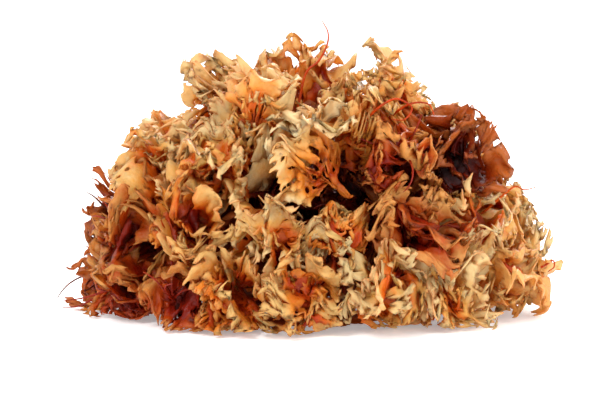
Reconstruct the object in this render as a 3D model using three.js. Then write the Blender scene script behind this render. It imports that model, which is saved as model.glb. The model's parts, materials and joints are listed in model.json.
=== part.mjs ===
// A matted clump of dried Irish moss: forked, crisped seaweed fronds heaped into a mound.
// Millimetres, +Z up. The origin is on the table, under the stalk of the frond that the clump rests on.
// -Y is the front. Each frond grew as one piece and is one mesh.
import * as THREE from 'three';

// Driving dimensions of the mound
const HALF_WIDTH = 75;
const HALF_DEPTH = 54;
const HEIGHT = 82;
const MOUND_POWER = 2.2;
const MOUND_ROUNDING = 0.6;

// Room between fronds, and how the crumpled clump bends them
const CLEARANCE = 0.35;
const OPEN_REACH = 18;
const ROUNDING = 12;
const LENGTH_FILL = 0.92;
const FITTED_PART = 0.8;
const FREE_SHARE = 0.7;
const CRUMPLE = 2.2;
const CRUMPLE_LENGTH = { least: 22.8, range: 30.4 };
const CRUMPLE_WAVES = 4;
const SEED = 447;

// The frond under the clump lies flat on the table
const BASE = { reach: 32, fan: 4.4, width: 20, thickness: 1.6, stalk: 8 };

// What each kind of frond is like. reach is root to tip, fan the angle of its flat outline and open the angle
// it stands open to once its edge has crisped into waves, width the most that a limb measures across,
// lean how far it lies along the slope (1) or stands out of it (0), girth how much room it claims.
// A kind with a flare is rolled round its growth into a trumpet, the others are bent by their curl.
const KINDS = {
  ivory: { reach: 44, fan: 2.4, open: 2, width: 26, ruffle: 3, waves: 1.5, curl: 0.9, lean: -0.85,
    girth: 13 },
  crisp: { reach: 30, fan: 4.8, open: 4.8, width: 34, ruffle: 4, waves: 3, flare: 1, lean: 0.2, girth: 4 },
  leafy: { reach: 32, fan: 4, open: 3.8, width: 34, ruffle: 4, waves: 2.5, flare: 1, lean: 0.35, girth: 6 },
  strap: { reach: 36, fan: 3, open: 2.7, width: 10, ruffle: 5, waves: 1.5, curl: 1, lean: 0.4, girth: 4 },
  horned: { reach: 32, fan: 4, open: 3.6, width: 14, ruffle: 4, waves: 2, flare: 1, lean: 0.3, girth: 4 },
};

// Colours of the dried weed
const COLOURS = {
  ivory: 0xe8cf9f,
  straw: 0xdcb070,
  amber: 0xbf7a35,
  russet: 0x8e4318,
  umber: 0x4a1f12,
};

// The rings of fronds, each listed from the front (-Y) round by +X: kind and colour of each frond.
// middle is the height of the ring's middle, spread how far out it sits as a share of the mound there.
const RINGS = [
  {
    name: 'rim', middle: 11, spread: 0.82, turn: 0, table: true,
    fronds: [
      ['crisp', 'amber'], ['leafy', 'straw'], ['crisp', 'straw'], ['crisp', 'amber'], ['horned', 'straw'],
      ['crisp', 'straw'], ['strap', 'russet'], ['crisp', 'straw'], ['crisp', 'amber'], ['strap', 'umber'],
      ['horned', 'straw'], ['strap', 'umber'], ['crisp', 'russet'], ['strap', 'russet'], ['crisp', 'amber'],
    ],
  },
  {
    name: 'lower', middle: 28, spread: 0.78, turn: 0.2,
    fronds: [
      ['crisp', 'amber'], ['crisp', 'russet'], ['leafy', 'straw'], ['horned', 'straw'], ['crisp', 'straw'],
      ['leafy', 'amber'], ['crisp', 'straw'], ['strap', 'umber'], ['crisp', 'amber'], ['strap', 'umber'],
      ['crisp', 'russet'], ['crisp', 'amber'], ['leafy', 'straw'],
    ],
  },
  {
    name: 'upper', middle: 45, spread: 0.74, turn: 0,
    fronds: [
      ['ivory', 'ivory'], ['crisp', 'russet'], ['strap', 'umber'], ['leafy', 'straw'], ['crisp', 'amber'],
      ['crisp', 'straw'], ['strap', 'russet'], ['crisp', 'amber'], ['leafy', 'straw'], ['crisp', 'straw'],
    ],
  },
  {
    name: 'crown', middle: 62, spread: 0.62, turn: 0.5,
    fronds: [
      ['crisp', 'amber'], ['leafy', 'straw'], ['crisp', 'amber'], ['crisp', 'straw'], ['crisp', 'straw'],
    ],
  },
  {
    name: 'inner', middle: 20, spread: 0.42, turn: 0.4,
    fronds: [
      ['crisp', 'umber'], ['leafy', 'russet'], ['crisp', 'umber'], ['leafy', 'russet'], ['crisp', 'umber'],
    ],
  },
  {
    name: 'heart', middle: 42, spread: 0.33, turn: 1.2,
    fronds: [
      ['crisp', 'umber'], ['leafy', 'russet'], ['crisp', 'umber'],
    ],
  },
];

// How far fronds are shifted at random from even rings, and evened out round the oval
const PLACE_JITTER = { turn: 0.3, height: 6, out: 0.1 };
const OVAL_EVENING = 0.09;

// How much fronds stand up, turn and lean at random, and how much they are cupped across
const UPWARD = 0.8;
const ROLL = 2.4;
const LEAN_JITTER = 0.3;
const CUP = { least: 0.3, range: 0.9 };

// Where a limb of each level ends, as a share of the frond's reach, and how its width goes on
const LIMB_ENDS = [0.3, 0.5, 0.74, 1];
const LIMB_WIDTHS = [0.8, 1, 0.9, 0.8];
const LIMB_FILL = 0.48;
const FORK_JITTER = 0.16;
const SHOULDER = { along: 0.36, turn: 0.8, width: 0.8 };
const CROTCH = 0.16;
const TIP = { row: 0.72, notch: 0.88, lobe: 0.6 };
const RUFFLE_POWER = 2;
const ROOT_DEPTH = 0.5;
const THROAT = 0.4;
const BLADE_THICKNESS = 0.9;
const CRISPING_STEPS = [1, 0.85, 0.7, 0.55, 0.4, 0.25, 0.1];

// Repeatable random numbers from 0 to 1
function stream(seed) {
  let state = seed | 0;
  return () => {
    state = (state + 0x6d2b79f5) | 0;
    let t = Math.imul(state ^ (state >>> 15), 1 | state);
    t = (t + Math.imul(t ^ (t >>> 7), 61 | t)) ^ t;
    return ((t ^ (t >>> 14)) >>> 0) / 4294967296;
  };
}

// How wide the mound is at a height, from 1 at the table to 0 at the top
function moundShare(z) {
  const rise = Math.min(z / HEIGHT, 1);
  return (1 - rise ** MOUND_POWER) ** MOUND_ROUNDING;
}

// Every frond's kind, colour and middle, with the random stream that shapes it
function placeFronds() {
  const placed = [];
  RINGS.forEach((ring, ringIndex) => {
    ring.fronds.forEach(([kind, colour], i) => {
      const next = stream(SEED + 100 * ringIndex + i);
      const step = (2 * Math.PI) / ring.fronds.length;
      const turn = ring.turn + step * (i + PLACE_JITTER.turn * (next() - 0.5));
      const angle = turn - OVAL_EVENING * Math.sin(2 * turn);
      const z = ring.middle + PLACE_JITTER.height * (next() - 0.5);
      const out = ring.spread * moundShare(z) * (1 + PLACE_JITTER.out * (next() - 0.5));
      const middle = new THREE.Vector3(
        out * HALF_WIDTH * Math.sin(angle), -out * HALF_DEPTH * Math.cos(angle), z);
      const name = `${ring.name}_frond_${String(i + 1).padStart(2, '0')}`;
      placed.push({ name, kind: KINDS[kind], colour: COLOURS[colour], middle, table: ring.table, next });
    });
  });
  return placed;
}

// The walls round a frond's own room, as planes that its points stay behind
function roomOf(frond, all) {
  const walls = [];
  const margin = (CLEARANCE + BLADE_THICKNESS) / 2;
  for (const other of all) {
    if (other === frond) continue;
    const normal = other.middle.clone().sub(frond.middle);
    const gap = normal.length();
    const claim = (frond.kind.girth ** 2 - other.kind.girth ** 2) / (2 * gap);
    walls.push({ normal: normal.divideScalar(gap), distance: gap / 2 + claim - margin });
  }
  const floor = frond.table ? 0 : BASE.thickness;
  walls.push({ normal: new THREE.Vector3(0, 0, -1), distance: frond.middle.z - floor - margin });
  return walls;
}

// How far there is room in a direction from a place within the walls, with the corners between them rounded
function roomToward(ray, offset, frond) {
  let sum = (1 / OPEN_REACH) ** ROUNDING;
  for (const wall of frond.walls) {
    const left = wall.distance - wall.normal.dot(offset);
    sum += Math.max(0, wall.normal.dot(ray) / left) ** ROUNDING;
  }
  return sum ** (-1 / ROUNDING);
}

// The slow waves that bend neighbouring fronds together
const crumpleWaves = (() => {
  const next = stream(SEED);
  return Array.from({ length: CRUMPLE_WAVES }, () => {
    const draw = () => 2 * next() - 1;
    const along = new THREE.Vector3(draw(), draw(), draw()).normalize();
    const push = new THREE.Vector3(draw(), draw(), draw()).normalize();
    const length = CRUMPLE_LENGTH.least + CRUMPLE_LENGTH.range * next();
    return { along: along.multiplyScalar((2 * Math.PI) / length), push, phase: 2 * Math.PI * next() };
  });
})();

function crumple(point, strength) {
  const moved = point.clone();
  for (const wave of crumpleWaves) {
    moved.addScaledVector(wave.push, strength * CRUMPLE * Math.sin(wave.along.dot(point) + wave.phase));
  }
  return moved;
}

// The frond's own directions: growth, side and face, from the mound's outward direction at its middle
function directions(frond) {
  const { middle, kind, next } = frond;
  const outward = new THREE.Vector3(
    middle.x / HALF_WIDTH ** 2, middle.y / HALF_DEPTH ** 2, (UPWARD * middle.z) / HEIGHT ** 2).normalize();
  const down = new THREE.Vector3(0, 0, -1).addScaledVector(outward, outward.z).normalize();
  const across = new THREE.Vector3().crossVectors(outward, down);
  const roll = ROLL * (next() - 0.5);
  const along = down.multiplyScalar(Math.cos(roll)).addScaledVector(across, Math.sin(roll));
  const side = new THREE.Vector3().crossVectors(outward, along).normalize();
  const lean = (Math.PI / 2) * (kind.lean + LEAN_JITTER * (next() - 0.5));
  const growth = outward.multiplyScalar(Math.cos(lean)).addScaledVector(along, Math.sin(lean));
  const face = new THREE.Vector3().crossVectors(growth, side);
  return { growth, side, face };
}

// The limbs of a forked frond, level by level, on a flat fan: where each starts and ends, and its direction
function forkedLimbs(kind, next) {
  const to = LIMB_ENDS[0] * kind.reach;
  const limbs = [{ parent: null, level: 0, from: 0, to, angle: 0, sector: kind.fan }];
  for (let i = 0; i < limbs.length; i++) {
    const limb = limbs[i];
    const level = limb.level + 1;
    if (level === LIMB_ENDS.length) continue;
    const share = 0.5 + FORK_JITTER * (next() - 0.5);
    const low = limb.angle - limb.sector / 2;
    const parts = [[low, share * limb.sector], [low + share * limb.sector, (1 - share) * limb.sector]];
    limb.children = parts.map(([start, sector]) => {
      const to = LIMB_ENDS[level] * kind.reach * (1 + FORK_JITTER * (next() - 0.5));
      const child = { parent: limb, level, from: limb.to, to, angle: start + sector / 2, sector };
      limbs.push(child);
      return child;
    });
  }
  return limbs;
}

// A frond's flat outline as triangles. Points on the rim are one vertex, points on a limb's rib are two.
function flatFrond(kind, limbs) {
  const points = [];
  const faces = [];
  const add = (along, angle, rib) => {
    return points.push({ a: along * Math.cos(angle), b: along * Math.sin(angle), rib }) - 1;
  };
  const halfAngle = (limb, along) => {
    return Math.min((kind.width / 2 / along) * LIMB_WIDTHS[limb.level], LIMB_FILL * limb.sector);
  };
  const row = (limb, along) => {
    const half = halfAngle(limb, along);
    return [-half, 0, half].map((turn) => add(along, limb.angle + turn, turn === 0));
  };
  const strip = (first, second) => {
    for (let i = 0; i + 1 < first.length; i++) {
      faces.push([first[i], second[i], second[i + 1]], [first[i], second[i + 1], first[i + 1]]);
    }
  };
  const grow = (limb, start) => {
    const length = limb.to - limb.from;
    if (!limb.children) {
      const [left, rib, right] = row(limb, limb.from + TIP.row * length);
      strip(start, [left, rib, right]);
      const half = halfAngle(limb, limb.to);
      const lobes = [[1, -TIP.lobe], [TIP.notch, 0], [1, TIP.lobe]].map(
        ([share, turn]) => add(limb.from + share * length, limb.angle + turn * half, false));
      const tip = [left, ...lobes, right];
      for (let i = 0; i + 1 < tip.length; i++) faces.push([rib, tip[i], tip[i + 1]]);
      return;
    }
    const end = row(limb, limb.to);
    strip(start, end);
    fork(limb, end);
  };
  const fork = (limb, [left, rib, right]) => {
    const [low, high] = limb.children;
    const reach = (child) => child.to - child.from;
    const crotchReach = limb.to + CROTCH * Math.min(reach(low), reach(high));
    const crotch = add(crotchReach, high.angle - high.sector / 2, false);
    const shoulder = (child, sign) => {
      const along = child.from + SHOULDER.along * reach(child);
      const angle = THREE.MathUtils.lerp(limb.angle, child.angle, SHOULDER.turn);
      const half = sign * SHOULDER.width * halfAngle(child, along);
      return [add(along, angle + half, false), add(along, angle, true)];
    };
    const [lowEdge, lowRib] = shoulder(low, -1);
    const [highEdge, highRib] = shoulder(high, 1);
    strip([left, rib], [lowEdge, lowRib]);
    faces.push([rib, lowRib, crotch], [rib, crotch, highRib]);
    strip([rib, right], [highRib, highEdge]);
    grow(low, [lowEdge, lowRib, crotch]);
    grow(high, [crotch, highRib, highEdge]);
  };
  const stalk = limbs[0];
  const root = add(0, 0, false);
  const [left, rib, right] = row(stalk, stalk.to);
  faces.push([root, left, rib], [root, rib, right]);
  fork(stalk, [left, rib, right]);
  return { points, faces };
}

// Bends a distance along and a height above it round a circle
function bend(along, above, curl) {
  const radius = 1 / curl;
  return [(radius - above) * Math.sin(along * curl), radius - (radius - above) * Math.cos(along * curl)];
}

// A flat frond's blade bent along its growth and cupped across it:
// distances along, across and out of its face
function bentPlace(far, turn, height, kind, form) {
  const angle = turn * kind.open;
  const [along, above] = bend(far * Math.cos(angle), height, (form.curl * kind.curl) / kind.reach);
  const [across, face] = bend(far * Math.sin(angle), above, form.cup / kind.reach);
  return [along, across, face];
}

// A frond rolled round its growth, flaring towards its edge: distances along, across and out of its face
function trumpetPlace(far, turn, height, kind) {
  const tilt = THROAT + (kind.flare * far) / kind.reach;
  const bow = kind.reach / kind.flare;
  const along = bow * (Math.sin(tilt) - Math.sin(THROAT)) - height * Math.sin(tilt);
  const radius = bow * (Math.cos(THROAT) - Math.cos(tilt)) + height * Math.cos(tilt);
  const angle = turn * kind.open;
  return [along, radius * Math.sin(angle), radius * Math.cos(angle)];
}

// Where a point of the flat frond lies once its blade has curled:
// along its growth, across it, out of its face
function curledPlace({ a, b }, kind, form, crisping) {
  const far = Math.hypot(a, b);
  const turn = Math.atan2(b, a) / kind.fan;
  const wave = Math.sin(2 * Math.PI * kind.waves * turn + form.phase);
  const height = crisping * kind.ruffle * (far / kind.reach) ** RUFFLE_POWER * wave;
  const place = kind.flare ? trumpetPlace : bentPlace;
  const [along, across, face] = place(far, turn, height, kind, form);
  return [along - ROOT_DEPTH * kind.reach, across, face];
}

// A share of the room that stays as it is up to a point, then eases off towards the whole
function eased(share) {
  if (share < FREE_SHARE) return share;
  const rest = 1 - FREE_SHARE;
  return FREE_SHARE + rest * Math.tanh((share - FREE_SHARE) / rest);
}

// The curled frond set in the clump: at each distance along its growth it spreads to fill the room there
function placeInClump(curled, frond, form, crisping) {
  const { growth } = form;
  const none = new THREE.Vector3();
  const rays = curled.map(([along, across, face]) => {
    const point = frond.middle.clone()
      .addScaledVector(growth, along)
      .addScaledVector(form.side, across)
      .addScaledVector(form.face, face);
    return crumple(point, crisping).sub(frond.middle);
  });
  const alongs = rays.map((ray) => ray.dot(growth));
  const sides = rays.map((ray, i) => ray.clone().addScaledVector(growth, -alongs[i]));
  const widths = sides.map((side) => side.length()).sort((one, two) => one - two);
  const spread = widths[Math.floor(FITTED_PART * widths.length)];
  const ahead = roomToward(growth, none, frond) / Math.max(...alongs);
  const behind = roomToward(growth.clone().negate(), none, frond) / -Math.min(...alongs);
  return rays.map((ray, i) => {
    const fit = Math.min(1, LENGTH_FILL * (alongs[i] > 0 ? ahead : behind));
    const offset = growth.clone().multiplyScalar(fit * alongs[i]);
    const toward = sides[i].clone().normalize();
    const beside = roomToward(toward, offset, frond) * eased(sides[i].length() / spread);
    return frond.middle.clone().add(offset).addScaledVector(toward, beside);
  });
}

// A closed blade from a bent outline: ribs are raised on both faces, rims are shared by both
function bladeGeometry(places, faces, ribs, raise) {
  const normals = places.map(() => new THREE.Vector3());
  for (const [i, j, k] of faces) {
    const across = places[j].clone().sub(places[i]).cross(places[k].clone().sub(places[i]));
    [i, j, k].forEach((v) => normals[v].add(across));
  }
  const positions = [];
  const upper = [];
  const lower = [];
  places.forEach((place, v) => {
    upper[v] = positions.length;
    lower[v] = upper[v] + (ribs[v] ? 1 : 0);
    const [over, under] = ribs[v] ? raise : [0, 0];
    const normal = normals[v].normalize();
    positions.push(place.clone().addScaledVector(normal, over));
    if (ribs[v]) positions.push(place.clone().addScaledVector(normal, -under));
  });
  const index = [];
  for (const [i, j, k] of faces) index.push(upper[i], upper[j], upper[k], lower[i], lower[k], lower[j]);
  const geometry = new THREE.BufferGeometry().setFromPoints(positions);
  geometry.setIndex(index);
  return geometry;
}

// Whether two triangles of a closed mesh that share no corner cut through each other
function cutsItself(geometry) {
  const place = geometry.getAttribute('position');
  const triangles = [];
  for (let i = 0; i < geometry.index.count; i += 3) {
    const corners = [0, 1, 2].map((step) => geometry.index.getX(i + step));
    const points = corners.map((corner) => new THREE.Vector3().fromBufferAttribute(place, corner));
    triangles.push({ corners, points, box: new THREE.Box3().setFromPoints(points) });
  }
  const ray = new THREE.Ray();
  const hit = new THREE.Vector3();
  const edgeCuts = (start, end, [a, b, c]) => {
    const length = start.distanceTo(end);
    ray.set(start, end.clone().sub(start).divideScalar(length));
    return ray.intersectTriangle(a, b, c, false, hit) !== null && hit.distanceTo(start) < length;
  };
  const cuts = (one, two) => [[0, 1], [1, 2], [2, 0]].some(([i, j]) => (
    [i, j].every((corner) => !two.corners.includes(one.corners[corner]))
    && edgeCuts(one.points[i], one.points[j], two.points)));
  return triangles.some((one, i) => triangles.slice(i + 1).some((two) => (
    one.box.intersectsBox(two.box) && (cuts(one, two) || cuts(two, one)))));
}

// A frond as crisped and crumpled as it can be without its folds cutting through each other
function frondGeometry(frond, all) {
  frond.walls = roomOf(frond, all);
  const form = directions(frond);
  const { kind, next } = frond;
  form.phase = 2 * Math.PI * next();
  form.curl = next() < 0.5 ? -1 : 1;
  form.cup = CUP.least + CUP.range * next();
  const flat = flatFrond(kind, forkedLimbs(kind, next));
  const ribs = flat.points.map((point) => point.rib);
  const half = BLADE_THICKNESS / 2;
  for (const crisping of CRISPING_STEPS) {
    const curled = flat.points.map((point) => curledPlace(point, kind, form, crisping));
    const places = placeInClump(curled, frond, form, crisping);
    const geometry = bladeGeometry(places, flat.faces, ribs, [half, half]);
    if (!cutsItself(geometry)) return geometry;
  }
  throw new Error(`${frond.name} cuts through itself`);
}

// The frond under the clump: its lower face is flat on the table
function baseGeometry() {
  const kind = { reach: BASE.reach, fan: BASE.fan, width: BASE.width };
  const flat = flatFrond(kind, forkedLimbs(kind, stream(SEED)));
  const places = flat.points.map(({ a, b }) => new THREE.Vector3(a - BASE.stalk, b, 0));
  return bladeGeometry(places, flat.faces, flat.points.map((p) => p.rib), [BASE.thickness, 0]);
}

function weedMaterial(colour) {
  const look = { color: colour, roughness: 0.5, metalness: 0, side: THREE.DoubleSide };
  return new THREE.MeshStandardMaterial(look);
}

function addMesh(group, name, geometry, colour) {
  geometry.computeVertexNormals();
  const mesh = new THREE.Mesh(geometry, weedMaterial(colour));
  mesh.name = name;
  group.add(mesh);
}

const clump = new THREE.Group();
clump.name = 'irish_moss_clump';
addMesh(clump, 'base_frond', baseGeometry(), COLOURS.umber);
const fronds = placeFronds();
for (const frond of fronds) addMesh(clump, frond.name, frondGeometry(frond, fronds), frond.colour);

export default clump;
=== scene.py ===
"""A matted clump of dried Irish moss: each solid frond grown again with finer forks, and sprigs round it.

Lengths are in millimetres until a mesh is made. -Y is the front and +Z is up.
"""

import json
import math

import bpy
import numpy as np
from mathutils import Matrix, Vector

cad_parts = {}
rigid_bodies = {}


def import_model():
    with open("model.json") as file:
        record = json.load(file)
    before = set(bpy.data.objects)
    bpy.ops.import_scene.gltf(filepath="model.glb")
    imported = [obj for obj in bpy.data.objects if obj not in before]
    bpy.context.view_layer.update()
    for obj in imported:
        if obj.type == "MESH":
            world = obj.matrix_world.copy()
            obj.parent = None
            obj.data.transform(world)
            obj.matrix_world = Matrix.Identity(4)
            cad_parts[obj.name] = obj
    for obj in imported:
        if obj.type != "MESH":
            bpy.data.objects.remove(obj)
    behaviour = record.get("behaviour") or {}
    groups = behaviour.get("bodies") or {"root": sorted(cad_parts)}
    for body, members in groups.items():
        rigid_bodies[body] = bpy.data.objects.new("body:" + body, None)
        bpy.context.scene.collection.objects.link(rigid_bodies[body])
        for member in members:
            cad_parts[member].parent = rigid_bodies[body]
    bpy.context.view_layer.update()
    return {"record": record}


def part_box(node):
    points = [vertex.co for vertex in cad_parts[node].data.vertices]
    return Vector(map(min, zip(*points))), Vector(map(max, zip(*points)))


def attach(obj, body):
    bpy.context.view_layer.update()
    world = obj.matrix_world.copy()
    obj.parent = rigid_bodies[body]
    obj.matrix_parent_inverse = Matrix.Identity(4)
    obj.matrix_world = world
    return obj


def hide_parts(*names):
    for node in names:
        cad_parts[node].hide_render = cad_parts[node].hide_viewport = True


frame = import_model()

MM = 0.001
TINY = 1e-9

# The mound, and the room between fronds: the values that the solids were made with
HALF_WIDTH = 75
HALF_DEPTH = 54
HEIGHT = 82
MOUND_POWER = 2.2
MOUND_ROUNDING = 0.6
CLEARANCE = 0.35
OPEN_REACH = 18
ROUNDING = 12
LENGTH_FILL = 0.92
FITTED_PART = 0.8
FREE_SHARE = 0.7
CRUMPLE = 2.2
CRUMPLE_LENGTH = {"least": 22.8, "range": 30.4}
CRUMPLE_WAVES = 4
SEED = 447
RING_SEED = 100
BASE = {"reach": 32, "fan": 4.4, "width": 20, "thickness": 1.6, "stalk": 8}
PLACE_JITTER = {"turn": 0.3, "height": 6, "out": 0.1}
OVAL_EVENING = 0.09
UPWARD = 0.8
ROLL = 2.4
LEAN_JITTER = 0.3
CUP = {"least": 0.3, "range": 0.9}
LIMB_ENDS = (0.3, 0.5, 0.74, 1)
LIMB_FILL = 0.48
FORK_JITTER = 0.16
SHOULDER = {"along": 0.36, "turn": 0.8, "width": 0.8}
CROTCH = 0.16
TIP = {"row": 0.72, "notch": 0.88, "lobe": 0.6}
RUFFLE_POWER = 2
ROOT_DEPTH = 0.5
THROAT = 0.4
SOLID_THICKNESS = 0.9
CRISPING_STEPS = (1, 0.85, 0.7, 0.55, 0.4, 0.25, 0.1)

# Kinds of frond, as in the solids. forks is how many levels of limbs the fine frond has,
# flutter how far its margin waves to and fro in mm, holes how many oval holes its blade has.
KINDS = {
    "ivory": {"reach": 44, "fan": 2.4, "open": 2, "width": 26, "ruffle": 3, "waves": 1.5, "curl": 0.9,
              "lean": -0.85, "girth": 13, "forks": 6, "flutter": 3, "holes": 24},
    "crisp": {"reach": 30, "fan": 4.8, "open": 4.8, "width": 34, "ruffle": 4, "waves": 3, "flare": 1,
              "lean": 0.2, "girth": 4, "forks": 6, "flutter": 2.2, "holes": 14},
    "leafy": {"reach": 32, "fan": 4, "open": 3.8, "width": 34, "ruffle": 4, "waves": 2.5, "flare": 1,
              "lean": 0.35, "girth": 6, "forks": 6, "flutter": 2, "holes": 16},
    "strap": {"reach": 36, "fan": 3, "open": 2.7, "width": 10, "ruffle": 5, "waves": 1.5, "curl": 1,
              "lean": 0.4, "girth": 4, "forks": 6, "flutter": 1.2, "holes": 0},
    "horned": {"reach": 32, "fan": 4, "open": 3.6, "width": 14, "ruffle": 4, "waves": 2, "flare": 1,
               "lean": 0.3, "girth": 4, "forks": 6, "flutter": 1.4, "holes": 6},
}

# The rings of fronds, each from the front round by +X: middle height, spread, turn, kinds
RINGS = {
    "rim": (11, 0.82, 0, "crisp leafy crisp crisp horned crisp strap crisp crisp strap horned strap crisp"
            " strap crisp"),
    "lower": (28, 0.78, 0.2, "crisp crisp leafy horned crisp leafy crisp strap crisp strap crisp crisp"
              " leafy"),
    "upper": (45, 0.74, 0, "ivory crisp strap leafy crisp crisp strap crisp leafy crisp"),
    "crown": (62, 0.62, 0.5, "crisp leafy crisp crisp crisp"),
    "inner": (20, 0.42, 0.4, "crisp leafy crisp leafy crisp"),
    "heart": (42, 0.33, 1.2, "crisp leafy crisp"),
}

# The fine fronds: width and fill of the limbs level by level, and how the last levels share a tip
FINE_RING_SEED = 1000
FINE_WIDTHS = (0.8, 1, 0.9, 0.8, 0.7, 0.6)
FINE_FILLS = (0.48, 0.47, 0.45, 0.43, 0.42, 0.4)
FINE_SHARES = (0.5, 0.32, 0.24)
FINE_JITTER = 0.5
FINE_FORK_JITTER = 2 * FORK_JITTER
TIP_SHARE = {"least": 0.5, "range": 0.7}
FULLEST = 0.95

# Their flat sheets: the grid that they are cut from, the depth given to what lies far outside,
# and the ragged margins. A blunt tip's points stand past the limb's end and aside in half angles.
CELL = 1.06
HIDDEN_CELL = 1.9
HIDDEN_RINGS = ("inner", "heart")
SHEET_MARGIN = 1.15
NEAREST = 0.1
OUTSIDE = -3.0
LIMB_OVERLAP = 0.5
TIP_ROUNDING = 0.8
RAGGED = {"length": 2.3, "depth": 0.42}
RAGGED_STRIP = 0.9
BLUNT_TIP = ((1.4, -0.7), (0.7, 0), (1.4, 0.7))

# Oval holes: how far out and how far aside, as shares of the reach and fan, and their half lengths
HOLE_FAR = {"least": 0.3, "range": 0.6}
HOLE_TURN = 0.8
HOLE_LONG = {"least": 1.4, "range": 2.8}
HOLE_SHORT = {"least": 0.7, "range": 0.9}

# How the sheets are waved and made into blades
BLADE_THICKNESS = 0.55
EDGE_ROUND = 0.45
RIPPLES = 7
RIPPLE_SPREAD = {"least": 0.7, "range": 0.7}
FLUTTER = {"waves": 9, "power": 3, "sway": 1.5, "sway_length": 12}
MARGIN_CURL = {"length": 6.4, "height": 1.5, "reach": 2}
FINE_CRUMPLE = {"length": {"least": 8, "range": 18}, "height": 1.25, "waves": 9, "over_floor": 10}
BASE_FORKS = 6
BASE_BUMPS = {"height": 0.3, "length": 9}
BASE_TONE = 0.5

# The sprigs that grow from the root of each frond and fill its room: how many broad and narrow ones.
# past is how far a sprig may run into neighbours' rooms, open how far it may reach where there are none.
SPRIGS = {
    "rim": (3, 4), "lower": (3, 4), "upper": (3, 4),
    "crown": (4, 4), "inner": (5, 4), "heart": (8, 5),
}
IVORY_SPRIGS = (0, 2)
BROAD_SPRIG = {"ruffle": 4, "waves": 2, "flutter": 2, "holes": 8, "forks": 5,
               "width": {"least": 9, "range": 8}}
NARROW_SPRIG = {"ruffle": 4, "waves": 2, "flutter": 1.6, "holes": 0, "forks": 5,
                "width": {"least": 4, "range": 4}}
SEEN_SPRIG = {
    "reach": {"least": 20, "range": 12},
    "past": {"least": 4, "range": 13},
    "open": {"least": 11, "range": 12},
}
HIDDEN_SPRIG = {
    "reach": {"least": 28, "range": 14},
    "past": {"least": 9, "range": 14},
    "open": {"least": 18, "range": 16},
}
SPRIG_FAN = {"least": 1.8, "range": 1.6}
SPRIG_CURL = {"least": 0.6, "range": 1.6}
SPRIG_OUTWARD = 0.5
SPRIG_ALIKE = 0.6
SPRIG_SCATTER = 4.5
SPRIG_ROOT = 0.3
SPRIG_FITTED = 0.88
SPRIG_STEP = 1.3

# What counts as deep inside, for the painted shade in the colours: a distance from the frond's middle, a
# share of the mound
PAINTED_SHADE_REACH = {"frond": 15, "mound": 0.8}
MOUND_HEART = np.array([0, 0, 20])

# Thin bare stems. Those seen in the photo have a path in mm, the others curl at random in the dark fronds.
THREADS = (
    ((-4, 2, 60), (-1.2, 3, 73), (2.8, 4, 77), (5.5, 5, 82), (5.8, 5, 86), (4, 5, 89.5)),
    ((14, -24, 58), (20, -30, 65), (25, -31, 68), (28.5, -31, 67), (30.3, -31, 65), (28, -32, 62),
     (24, -31, 62)),
    ((22, -20, 60), (29, -28, 66), (35, -29, 66.5), (37, -29, 63)),
    ((52, -8, 30), (59, -9, 36.5), (63, -9, 39.5), (66, -9, 38.5), (70, -9, 39.5)),
    ((60, -6, 8), (68, -8, 12.5), (72.7, -8, 15), (75, -8, 16.5), (75.4, -8, 14.5), (73.5, -8, 13)),
    ((-60, -8, 8), (-66, -9, 5), (-71, -9, 2.4), (-76, -9, 2)),
    ((-58, 0, 29), (-63, -1, 32), (-66.5, -2, 35.5), (-69, -2, 37)),
)
THREAD_RADIUS = 0.42
THREAD_SIDES = 6
THREAD_STEPS = 5
THREAD_TAPER = 0.1
THREAD_ASIDE = np.array([0.31, 0.87, 0.39])
# The last value is the painted shade that a thread gets.
THREAD_VALUES = {"along": 0.3, "edge": 5.0, "tone": 0.5, "painted_shade": 0.4}
CURLY_THREADS = 5
CURLY_LENGTH = {"least": 12, "range": 12}
CURLY_TURN = {"least": 0.08, "range": 0.24}
CURLY_RINGS = ("rim", "lower", "upper")
CURLY_START = 4
CURLY_WANDER = 0.15

# Colours of each slot from the throat of a frond out to its tips, as screen values from 0 to 255
PALETTES = {
    "ivory": ((180, 66, 10), (238, 158, 54), (236, 200, 122), (236, 219, 168)),
    "straw": ((142, 20, 4), (230, 110, 20), (234, 184, 92), (232, 210, 150)),
    "amber": ((124, 16, 4), (209, 76, 10), (228, 150, 52), (229, 194, 120)),
    "russet": ((74, 7, 3), (154, 31, 6), (199, 84, 20), (216, 157, 82)),
    "umber": ((40, 5, 5), (90, 12, 5), (136, 39, 11), (186, 107, 47)),
}
PALETTE_STOPS = (0.14, 0.48, 0.73, 0.99)
DARK_SLOTS = ("russet", "umber")
SPOT_COLOUR = (64, 12, 8)
THROUGH_COLOUR = (250, 162, 56)

# The weed's surface: its noises, the weights of what moves a point along its palette and the sums at the
# palette's two ends, and the amber rim, dark spots, gloss, bump and light that comes through
NOISES = {
    "patches": {"Scale": 95, "Detail": 4},
    "broad_patches": {"Scale": 26, "Detail": 2},
    "grain": {"Scale": 620, "Detail": 6},
    "spots": {"Scale": 210, "Detail": 3},
    "crinkle": {"Scale": 330, "Detail": 2},
    "floor": {"Scale": 6, "Detail": 4},
}
NOISE_ROUGHNESS = 0.6
BROAD_PATCHES = 0.7
# The last weight darkens points deep in the clump and near a frond's middle: painted shade, where shade
# falls.
PALETTE_WEIGHTS = {"patches": 1.5, "tone": 0.5, "grain": 0.3, "painted_shade": -0.9}
PALETTE_ENDS = (0.9, 2.55)
AMBER_RIM = {"width": 0.7, "strength": 0.4}
SPOTS = {"from": 0.62, "full": 0.72, "strength": 0.75}
GLOSS = {"grain": (0.3, 0.7), "roughness": (0.18, 0.5), "specular": 0.35}
CRINKLE = 1.6
BUMP = {"Strength": 0.6, "Distance": 0.0006}
THROUGH = {"warmth": 0.35, "share": 0.5}

# Camera, in mm and degrees
VIEW_WIDTH = 190
VIEW_DISTANCE = 700
VIEW_ELEVATION = 7
VIEW_TARGET = (-1, 0, 33)
SENSOR = 36

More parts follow.
